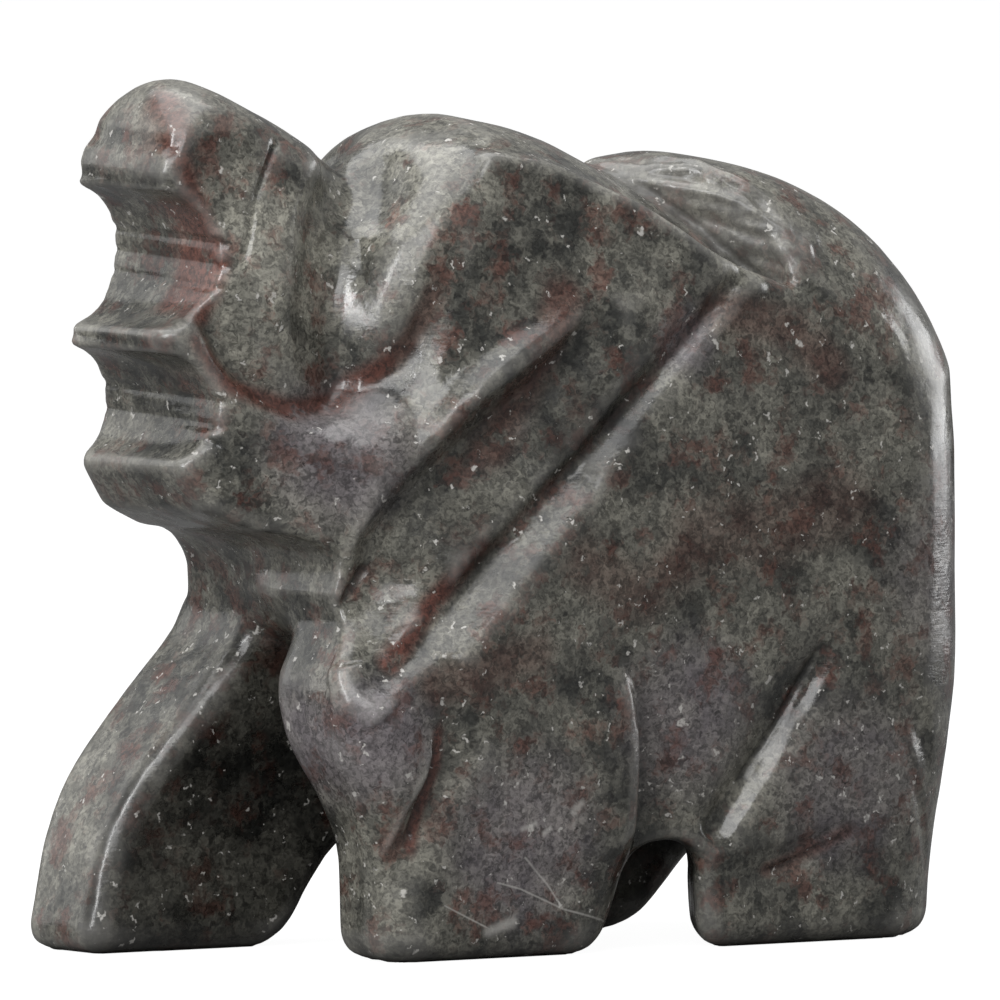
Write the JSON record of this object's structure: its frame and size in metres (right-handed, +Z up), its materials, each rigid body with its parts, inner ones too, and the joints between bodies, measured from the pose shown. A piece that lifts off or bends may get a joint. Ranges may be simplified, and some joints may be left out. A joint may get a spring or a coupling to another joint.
{
  "type": "elephant figurine",
  "caption": "Small walking elephant with its trunk raised against its brow, carved from one polished pebble of garnet-bearing stone; stands on its soles.",
  "frame": {"origin": "on the ground plane, under the middle of the carving's bounding box", "axes": "the elephant faces -X, its left side faces -Y, +Z is up and the soles are on Z = 0"},
  "size_m": [0.05, 0.024, 0.0474],
  "materials": {
    "garnet_stone": null
  },
  "bodies": {
    "root": {"elephant_carving": "garnet_stone"}
  },
  "joints": []
}
